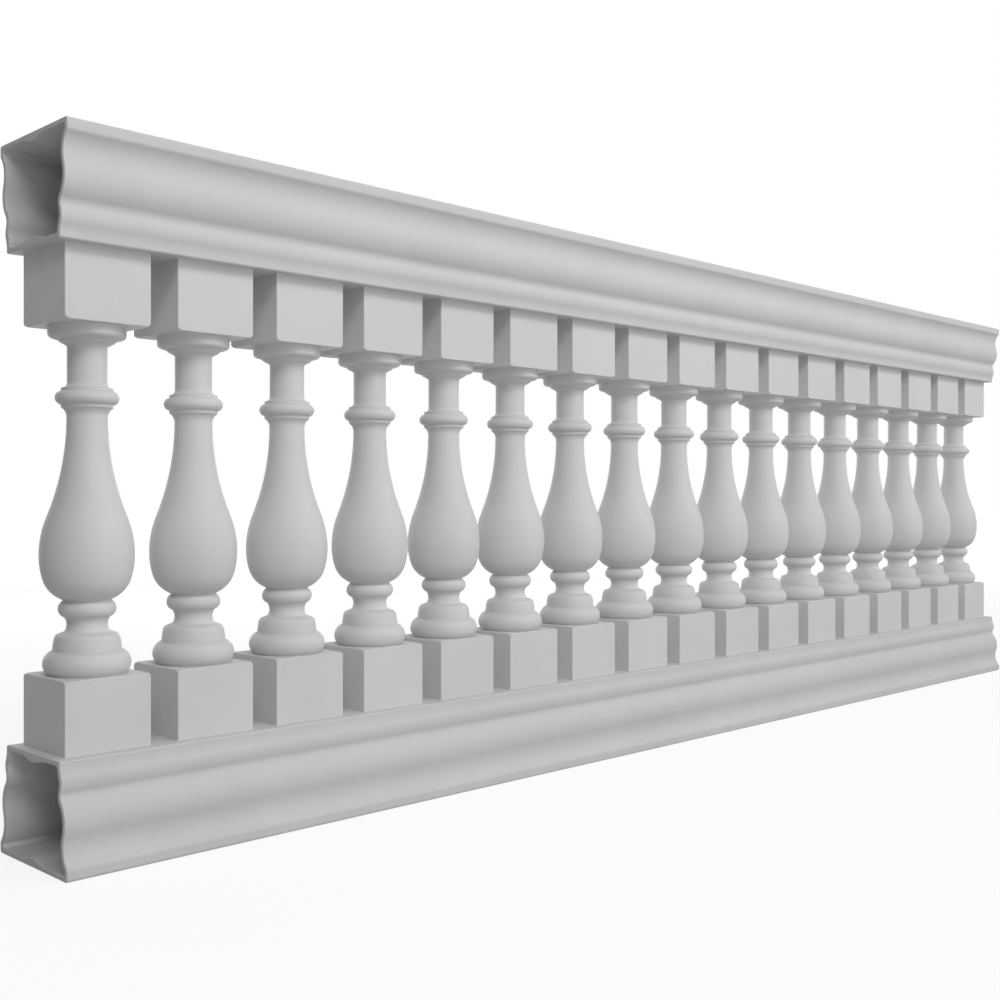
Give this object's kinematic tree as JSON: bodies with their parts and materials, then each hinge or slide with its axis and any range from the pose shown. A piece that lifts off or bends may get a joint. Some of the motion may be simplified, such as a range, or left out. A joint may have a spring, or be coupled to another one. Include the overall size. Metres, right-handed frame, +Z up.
{
  "type": "balustrade section",
  "caption": "Moulded fibreglass balustrade section: hollow moulded top and bottom rails with a row of turned vase balusters on square blocks between them.",
  "frame": {"origin": "on the floor, at the middle of the bottom rail's underside", "axes": "+X along the rails to the right as seen from the front, +Y towards the back face, +Z up"},
  "size_m": [2.5816, 0.1842, 0.9],
  "materials": {
    "rail_gelcoat": "matte pale grey gelcoat on laminated fibreglass",
    "baluster_gelcoat": "matte pale grey gelcoat on moulded fibreglass"
  },
  "bodies": {
    "root": {"bottom_rail": "rail_gelcoat", "top_rail": "rail_gelcoat", "baluster_01": "baluster_gelcoat", "baluster_02": "baluster_gelcoat", "baluster_03": "baluster_gelcoat", "baluster_04": "baluster_gelcoat", "baluster_05": "baluster_gelcoat", "baluster_06": "baluster_gelcoat", "baluster_07": "baluster_gelcoat", "baluster_08": "baluster_gelcoat", "baluster_09": "baluster_gelcoat", "baluster_10": "baluster_gelcoat", "baluster_11": "baluster_gelcoat", "baluster_12": "baluster_gelcoat", "baluster_13": "baluster_gelcoat", "baluster_14": "baluster_gelcoat", "baluster_15": "baluster_gelcoat", "baluster_16": "baluster_gelcoat", "baluster_17": "baluster_gelcoat"}
  },
  "joints": []
}
